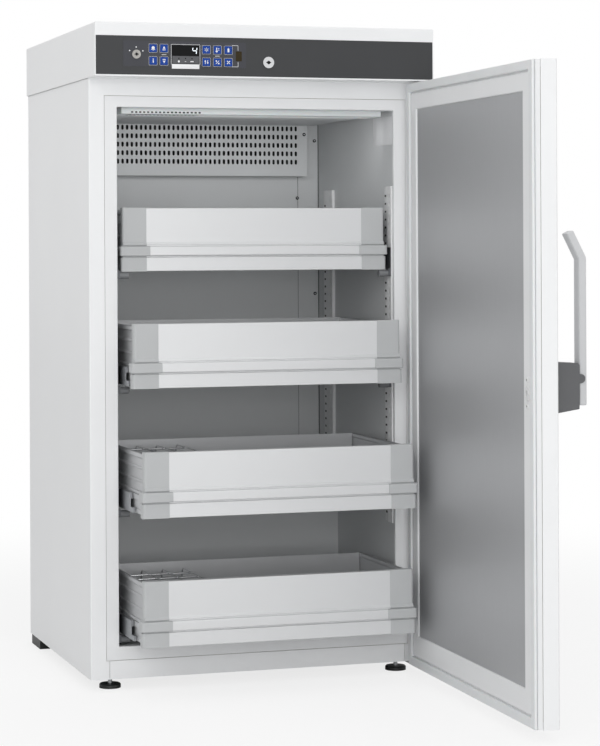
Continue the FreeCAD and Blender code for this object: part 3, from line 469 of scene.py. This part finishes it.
# lit segment of the display, behind the acrylic: cool white light, uneven over about a millimetre
litSegment = bpy.data.materials.new("litDisplaySegment")
litSegment.use_nodes = True
tree = litSegment.node_tree
tree.nodes.clear()
place = addNode(tree, "ShaderNodeTexCoord")
spots = addNode(tree, "ShaderNodeTexNoise", None, {"Vector": place.outputs["Object"], "Scale": 900.0})
tint = addNode(tree, "ShaderNodeMix", {"data_type": "RGBA"},
               {"Factor": spots.outputs["Fac"], "A": linear("F2F6FA"), "B": linear("DCE6EE")})
shader = addNode(tree, "ShaderNodeBsdfPrincipled", None,
                 {"Base Color": tint.outputs["Result"], "Emission Color": linear("E8F0F8"),
                  "Emission Strength": 0.6, "Roughness": 0.4})
addNode(tree, "ShaderNodeOutputMaterial", None, {"Surface": shader.outputs["BSDF"]})

# Where a second finish starts on a node, in mm
finishEdges = {
    "receiverFrom": -100, "glideInside": 276.3, "footX": 295, "spindleReach": 9, "spindleAbove": 8.7,
    "grommetBelow": 36.1, "plinthFront": -255, "plinthTop": 58,
}

dress(powderCoat, "cabinet_shell", "top_cover", "door_skin")
dress(frameAbs, "front_frame", "door_frame", "door_end_caps")
dress(polyurethane, "cabinet_foam", "door_foam")
dress(linerSteel, "inner_liner", "evaporator_cover")
dress(doorSteel, "door_panel")
dress(galvanised, "base_frame", "back_panel")
dress(sealPvc, "door_gasket")
dress(panelLacquer, "fascia")
dress(keypadFoil, "control_foil")
dress(tintedAcrylic, "display_window")
dressFaces("display_window", amberAcrylic, lambda p: p.x > finishEdges["receiverFrom"])
dress(satinNickel, "key_switch")
dress(chromePlate, "panel_lock")
dress(blackenedSteelAndHoleShade, "liner_screws")
dress(strikeAcetal, "strike_escutcheon")
dress(zincSteel, "hinge_brackets")
dress(railSteel, "cabinet_rails")
# the uprights' near-white is a painted reflection
dress(zincUprightPaintedReflection, "wall_uprights")
dressFaces("cabinet_rails", glideNylon, lambda p: abs(p.x) < finishEdges["glideInside"])
dress(blackPolyamide, "feet", "fan_rotor")
dressFaces("feet", footSpindle,
           lambda p: abs(abs(p.x) - finishEdges["footX"]) < finishEdges["spindleReach"]
           and p.z > finishEdges["spindleAbove"])
dress(blackRubber, "cable_gland")
dress(blackEnamel, "compressor")
dressFaces("compressor", blackRubber, lambda p: p.z < finishEdges["grommetBelow"])
# the fins' black is partly painted shade for what the cover's slots show
dress(blackFinsAndSlotShade, "evaporator")
dress(finAluminium, "condenser")
dress(handlePolyamide, "handle_base")
dress(leverLacquer, "handle_lever")
dressFaces("base_frame", powderCoat,         # the painted front of the plinth
           lambda p: p.y < finishEdges["plinthFront"] and p.z < finishEdges["plinthTop"])
for i in range(1, 11):
    dress(keyFoil, f"panel_key_{i}")
for i in range(1, 5):
    dress(drawerAluminium, f"drawer_{i}_front")
    dress(capAbs, f"drawer_{i}_corner_caps")
    dress(wallAluminium, f"drawer_{i}_box")
    dress(zincSteel, f"drawer_{i}_runners")
    if i > 2:
        dress(chromePlate, f"drawer_{i}_divider_rack")
print("finishes on all CAD nodes")


# Control panel, in mm: marks are at x and z, and lie on the foil's, a key's or the window's face

panelPrint = {
    "foilFace": -333.0, "keyFace": -333.9, "windowFace": -333.4,
    "ink": 0.12, "inkEdge": 0.04, "arrowEdge": 0.05, "dotSides": 20,
    "switchDots": ((-275.5, 1229.5), (-262.5, 1236.5), (-249.5, 1229.5)), "dotRadius": 1.3,
    "lines": ((-208.0, 1222.9, 9.0, 0.9), (-102.0, 1222.2, 9.0, 0.9),           # x, z, width, height
              (-66.5, 1243.2, 12.0, 0.7), (-60.5, 1238.0, 0.7, 9.7),
              (-66.5, 1202.2, 12.0, 0.7), (-60.5, 1207.2, 0.7, 9.7)),
    "displayFrame": (-165.3, 1224.0, 57.6, 39.0, 0.6),                          # and the line's width
    "keyFrame": (16.8, 16.8, 0.35), "frameCorner": 1.2,
}
keyPlaces = (
    (-229.5, 1235.0), (-208.0, 1235.0), (-229.5, 1210.8), (-208.0, 1210.8), (-124.0, 1234.0),
    (-102.0, 1234.0), (-80.0, 1234.0), (-124.0, 1210.3), (-102.0, 1210.3), (-80.0, 1210.3),
)

# Each icon's marks: place from the key's middle, then a bar's width, height and turn, a dot's or an
# arrow's radius, and whether the arrow points up
keyIcons = {
    1: (("dot", 0, 0.6, 3.0), ("bar", 0, -2.2, 7.6, 1.2), ("dot", 0, -3.6, 0.9)),
    2: (("arrow", 0, 1.0, 3.2), ("bar", 0, -3.0, 6.0, 1.3)),
    3: (("bar", 0, -1.2, 1.6, 5.0), ("dot", 0, 3.2, 1.1)),
    4: (("arrow", 0, -1.0, 3.2, False), ("bar", 0, 3.0, 6.0, 1.3)),
    5: (("bar", 0, 0, 8.4, 0.9, 30), ("bar", 0, 0, 8.4, 0.9, 90), ("bar", 0, 0, 8.4, 0.9, 150),
        ("dot", 0, 0, 1.5)),
    6: (("bar", -1.5, 1.4, 1.6, 6.0), ("dot", -1.5, -2.6, 2.0), ("bar", 2.4, 2.6, 2.6, 1.0),
        ("bar", 2.4, -0.2, 2.6, 1.0)),
    7: (("bar", 0, -0.6, 3.6, 6.6), ("bar", 0, 3.6, 1.8, 1.0)),
    8: (("arrow", -2.4, 1.8, 2.2), ("bar", -2.4, -1.6, 1.1, 4.2),
        ("arrow", 2.4, -1.8, 2.2, False), ("bar", 2.4, 1.6, 1.1, 4.2)),
    9: (("dot", -2.4, 2.4, 1.5), ("dot", 2.4, -2.4, 1.5), ("bar", 0, 0, 1.1, 9.0, 45)),
    10: (("bar", 0, 0, 1.4, 8.4, 45), ("bar", 0, 0, 1.4, 8.4, -45)),
}


def inked(face):                # the depths of a layer of ink on this face
    return face - panelPrint["ink"], face


def bar(face, x, z, width, height, degrees=0):
    piece = block(around(x, width), inked(face), around(z, height), panelPrint["inkEdge"], 1)
    return turned(piece, degrees, x, z) if degrees else piece


def dot(face, x, z, radius):
    return disc(x, z, radius, inked(face), panelPrint["inkEdge"], panelPrint["dotSides"])


def arrowHead(face, x, z, radius, up=True):
    piece = disc(x, z, radius, inked(face), panelPrint["arrowEdge"], 3)
    return piece if up else turned(piece, 180, x, z)


def outlineFrame(x, z, width, height, line):
    # a border printed on the foil: a plate is inset, its middle removed and the rest given the ink's depth
    clearSelection()
    bpy.ops.mesh.primitive_plane_add(
        size=1, location=(x * mm, panelPrint["foilFace"] * mm, z * mm), rotation=(math.radians(90), 0, 0))
    piece = bpy.context.object
    piece.scale = (width * mm, height * mm, 1)
    bpy.ops.object.transform_apply(location=True, rotation=True, scale=True)
    bpy.ops.object.mode_set(mode="EDIT")
    bpy.ops.mesh.select_all(action="SELECT")
    bpy.ops.mesh.bevel(offset=panelPrint["frameCorner"] * mm, segments=3, affect="VERTICES")
    bpy.ops.mesh.select_all(action="SELECT")
    bpy.ops.mesh.inset(thickness=line * mm, depth=0)
    bpy.ops.mesh.delete(type="FACE")
    bpy.ops.mesh.select_all(action="SELECT")
    bpy.ops.mesh.extrude_region_move(TRANSFORM_OT_translate={"value": (0, -panelPrint["ink"] * mm, 0)})
    bpy.ops.mesh.select_all(action="SELECT")
    bpy.ops.mesh.normals_make_consistent(inside=False)
    bpy.ops.object.mode_set(mode="OBJECT")
    return piece


markKinds = {"bar": bar, "dot": dot, "arrow": arrowHead}
for number, (x, z) in enumerate(keyPlaces, 1):
    icon = joined([markKinds[kind](panelPrint["keyFace"], x + right, z + up, *form)
                   for kind, right, up, *form in keyIcons[number]])
    finishPiece(icon, f"keyIcon_{number}", f"key_{number}", whiteInk)

foilFace = panelPrint["foilFace"]
foilMarks = [dot(foilFace, x, z, panelPrint["dotRadius"]) for x, z in panelPrint["switchDots"]]
foilMarks += [bar(foilFace, *line) for line in panelPrint["lines"]]
foilMarks += [outlineFrame(*panelPrint["displayFrame"])]
foilMarks += [outlineFrame(x, z, *panelPrint["keyFrame"]) for x, z in keyPlaces]
finishPiece(joined(foilMarks), "keypadPrint", "cabinet", whiteInk)

stripLabel = {"ranges": ((-192.6, -138.0), (-333.35, -333.0), (1196.6, 1205.4)), "edge": 0.1}
finishPiece(block(*stripLabel["ranges"], stripLabel["edge"]), "writingStrip", "cabinet", whiteInk)

# Display: a lit digit, and a grey field with its marks below it
display = {
    "digitAt": (-147.5, 1231.5), "digitSize": (8.0, 13.0), "segment": 1.6, "slant": 0.14,
    "fieldX": (-191.8, -138.8), "fieldZ": (1206.8, 1221.0), "fieldThick": 0.1,
    "columns": (-178.8, -165.6, -152.8), "arrowRow": 1216.4, "arrowRadius": 1.9,
    "markRow": 1210.6, "markDot": 2.0, "markBars": ((2.6, 0.9), (6.6, 1.9)),
}


def displayDigit():
    # a seven-segment four, each segment a small slanted prism
    x, z = display["digitAt"]
    width, height = display["digitSize"]
    segment = display["segment"]
    left, right = around(x, width)
    low, high = around(z, height / 2)
    upright = height / 2 - segment
    places = [(left, high, segment, upright), (right, high, segment, upright),
              (x, z, width - segment, segment), (right, low, segment, upright)]
    digit = joined([bar(panelPrint["windowFace"], *place) for place in places])
    for vertex in digit.data.vertices:
        vertex.co.x += (vertex.co.z - z * mm) * display["slant"]
    return digit


finishPiece(displayDigit(), "displayDigit", "cabinet", litSegment)

fieldFace = panelPrint["windowFace"] - display["fieldThick"]
lowerField = block(display["fieldX"], (fieldFace, panelPrint["windowFace"]), display["fieldZ"],
                   panelPrint["inkEdge"], 1)
finishPiece(lowerField, "displayField", "cabinet", fieldInk)

darkMarks = [arrowHead(fieldFace, x, display["arrowRow"], display["arrowRadius"]) for x in display["columns"]]
finishPiece(joined(darkMarks), "displayArrows", "cabinet", tintedAcrylic)

statusMarks = [dot(fieldFace, display["columns"][0], display["markRow"], display["markDot"])]
statusMarks += [bar(fieldFace, x, display["markRow"], *form)
                for x, form in zip(display["columns"][1:], display["markBars"])]
finishPiece(joined(statusMarks), "displayMarks", "cabinet", whiteInk)

# Keyholes in the two barrels as painted shade: a dark round hole with a blade's slot across it, laid on the
# barrel's face
keyholes = {
    "keySwitchKeyholeShade": {"body": "switch_barrel", "x": -262.5, "z": 1222.8, "radius": 2.6, "face": -336.0},
    "panelLockKeyholeShade": {"body": "lock_barrel", "x": 0.7, "z": 1211.7, "radius": 3.4, "face": -335.35},
}
keyholeForm = {"proud": 0.25, "sunk": 0.2, "bladeReach": 1.6, "bladeHigh": 1.8, "edge": 0.1, "sides": 24}
for name, hole in keyholes.items():
    ys = (hole["face"] - keyholeForm["proud"], hole["face"] + keyholeForm["sunk"])
    blade = 2 * (hole["radius"] + keyholeForm["bladeReach"])
    opening = disc(hole["x"], hole["z"], hole["radius"], ys, keyholeForm["edge"], keyholeForm["sides"])
    across = block(around(hole["x"], blade), ys, around(hole["z"], keyholeForm["bladeHigh"]),
                   keyholeForm["edge"])
    finishPiece(joined([opening, across]), name, hole["body"], blackenedSteelAndHoleShade)
print("control panel printed")

# Lining: sealed corners and seams, a dark strip of painted shade in the gap over the air cover, and the
# sockets of its screws
lining = {
    "back": 235.1, "bottom": 331.0, "top": 1127.0, "coverBottom": 1006.5,
    "corner": {"x": 287.3, "wide": 1.4, "deep": 1.2, "edge": 0.4},
    "seam": {"x": 240.2, "wide": 0.8, "deep": 0.5, "edge": 0.15},
    "coverGapShade": {"ranges": ((-249.0, 249.0), (197.0, 197.6), (1124.6, 1127.0)), "edge": 0.2},
    "screws": ((243, 1098.0, 195.3), (279, 1086.0, 233.3), (239, 960.0, 233.3), (279, 750.0, 233.3)),
    "socket": {"radius": 1.5, "proud": 0.5, "sunk": 0.2, "edge": 0.25, "sides": 16},
}
seams = []
for side in (-1, 1):
    for kind, top in (("corner", lining["top"]), ("seam", lining["coverBottom"])):
        seam = lining[kind]
        ys = (lining["back"] - seam["deep"], lining["back"])
        seams += [block(around(side * seam["x"], seam["wide"]), ys, (lining["bottom"], top), seam["edge"])]
# the gap over the air cover: a dark strip of painted shade
seams += [block(*lining["coverGapShade"]["ranges"], lining["coverGapShade"]["edge"])]
finishPiece(joined(seams), "liningSeamsAndGapShade", "cabinet", sealantAndGapShade)

socket = lining["socket"]
centres = [disc(side * x, z, socket["radius"], (y - socket["proud"], y + socket["sunk"]), socket["edge"],
                socket["sides"])
           for x, z, y in lining["screws"] for side in (-1, 1)]
finishPiece(joined(centres), "screwCentres", "cabinet", chromePlate)

# Lamp cover under the ceiling; its slots, a row in its front edge and two in its underside, are dark blocks
# of painted shade
lampCover = {
    "x": (-268.0, 268.0), "y": (-232.0, -146.0), "z": (1114.8, 1127.4), "edge": 1.4,
    "firstSlot": -248.5, "slotPitch": 8.0, "slots": 18, "slotWide": 4.4, "slotEdge": 0.15,
    "frontSlots": (1116.8, 1119.8), "underSlots": (14, 38), "underLong": 14, "proud": 0.2, "sunk": 0.4,
}
strip = block(lampCover["x"], lampCover["y"], lampCover["z"], lampCover["edge"], 3)
finishPiece(strip, "lampCover", "cabinet", opalCover)

front = lampCover["y"][0]
under = lampCover["z"][0]
slotShadeRow = []
for i in range(lampCover["slots"]):
    x = lampCover["firstSlot"] + i * lampCover["slotPitch"]
    xs = (x, x + lampCover["slotWide"])
    for y in lampCover["underSlots"]:
        slotShadeRow += [block(xs, (front + y, front + y + lampCover["underLong"]),
                          (under - lampCover["proud"], under + lampCover["sunk"]), lampCover["slotEdge"], 1)]
    slotShadeRow += [block(xs, (front - lampCover["proud"], front + lampCover["sunk"]), lampCover["frontSlots"],
                      lampCover["slotEdge"], 1)]
finishPiece(joined(slotShadeRow), "lampCoverSlotShade", "cabinet", blackenedSteelAndHoleShade)

# Painted shade: a dark sheet behind the coil and fan, that darkens what is seen through the air cover's slots
shadeSheetBehindCoil = {"ranges": ((-247.0, 247.0), (234.4, 235.2), (1010.0, 1124.0)), "edge": 0.3}
shadeSheet = block(*shadeSheetBehindCoil["ranges"], shadeSheetBehindCoil["edge"], 1)
finishPiece(shadeSheet, "paintedShadeSheetBehindCoil", "cabinet", blackFinsAndSlotShade)

# Slotted flanges beside the uprights, flat on the side walls, near-white as a painted reflection, and their
# slots as dark blocks of painted shade
uprightFlange = {
    "wall": 288.0, "thick": 1.1, "edge": 0.3, "top": 975.0,
    "slotDeep": 9.0, "slotHigh": 4.0, "slotEdge": 0.05, "pitch": 16.0, "proud": 0.15,
    "posts": ({"y": (-223.5, -195.5), "slotAt": -204.0, "bottom": 298.0},
              {"y": (150.5, 195.5), "slotAt": 186.0, "bottom": 332.0}),
}
flanges = []
flangeSlotShades = []
for side in (-1, 1):
    outer = side * uprightFlange["wall"]
    inner = outer - side * uprightFlange["thick"]
    face = inner - side * uprightFlange["proud"]
    for post in uprightFlange["posts"]:
        flanges += [block(sorted((inner, outer)), post["y"], (post["bottom"], uprightFlange["top"]),
                          uprightFlange["edge"])]
        low = post["bottom"] + uprightFlange["pitch"]
        high = low + uprightFlange["slotHigh"]
        slot = block(sorted((inner, face)), around(post["slotAt"], uprightFlange["slotDeep"]), (low, high),
                     uprightFlange["slotEdge"], 1)
        repeat = slot.modifiers.new("slotShadeRow", "ARRAY")
        repeat.use_relative_offset = False
        repeat.use_constant_offset = True
        repeat.constant_offset_displace = (0, 0, uprightFlange["pitch"] * mm)
        repeat.count = int((uprightFlange["top"] - high) / uprightFlange["pitch"])
        bpy.ops.object.modifier_apply(modifier=repeat.name)
        flangeSlotShades.append(slot)
finishPiece(joined(flanges), "uprightFlanges", "cabinet", zincUprightPaintedReflection)
finishPiece(joined(flangeSlotShades), "flangeSlotShades", "cabinet", blackenedSteelAndHoleShade)

# Bare plate on the right side wall
barePlate = {"ranges": ((287.4, 287.9), (-248.0, -129.0), (1059.0, 1116.0)), "edge": 0.15}
finishPiece(block(*barePlate["ranges"], barePlate["edge"]), "blankPlate", "cabinet", whiteInk)
print("lining finished")

# Strike plate on the door's inner ring: painted shade as a dark slot behind its hole and dark crosses in its
# screws
strike = {
    "x": -306.0, "z": 599.0, "y": -265.0, "slot": {"wide": 4.8, "high": 9.8, "deep": 0.9, "edge": 0.4},
    "screws": (-22.0, 23.5), "cross": {"long": 4.0, "wide": 0.8, "y": (2.2, 2.6), "edge": 0.1},
}
slot = strike["slot"]
cross = strike["cross"]
marks = [block(around(strike["x"], slot["wide"]), (strike["y"], strike["y"] + slot["deep"]),
               around(strike["z"], slot["high"]), slot["edge"])]
for rise in strike["screws"]:
    ys = [strike["y"] + y for y in cross["y"]]
    for wide, high in ((cross["long"], cross["wide"]), (cross["wide"], cross["long"])):
        marks += [block(around(strike["x"], wide), ys, around(strike["z"] + rise, high), cross["edge"], 1)]
finishPiece(onDoor(joined(marks)), "strikeSlotAndScrewShade", "door", blackenedSteelAndHoleShade)
print("strike plate finished")


# Binding wires that tie the hoops of each rack together, under the hoops' tops
rackWires = {
    "racks": {3: {"front": -409.5, "bottom": 346.0, "length": 350},
              4: {"front": -402.5, "bottom": 102.5, "length": 300}},
    "radius": 1.5, "x": (-252.0, -122.0), "fromFront": 94.0, "fromBack": 90.0, "rise": 107.0,
}


def wireRun(xs, y, z, radius):
    # a straight wire with rounded ends along x
    clearSelection()
    bpy.ops.mesh.primitive_cylinder_add(
        vertices=12, radius=radius * mm, depth=(xs[1] - xs[0]) * mm,
        location=((xs[0] + xs[1]) / 2 * mm, y * mm, z * mm), rotation=(0, math.radians(90), 0))
    bpy.ops.object.transform_apply(location=True, rotation=True, scale=True)
    bevelAll(radius * 0.5, 2)
    return bpy.context.object


for number, rack in rackWires["racks"].items():
    near = rack["front"] + rackWires["fromFront"]
    far = rack["front"] + rack["length"] - rackWires["fromBack"]
    wires = [wireRun(rackWires["x"], y, rack["bottom"] + rackWires["rise"], rackWires["radius"])
             for y in (near, (near + far) / 2, far)]
    finishPiece(joined(wires), f"rackWires_{number}", f"drawer_{number}", chromePlate)
print("racks finished")

print("scene finished")
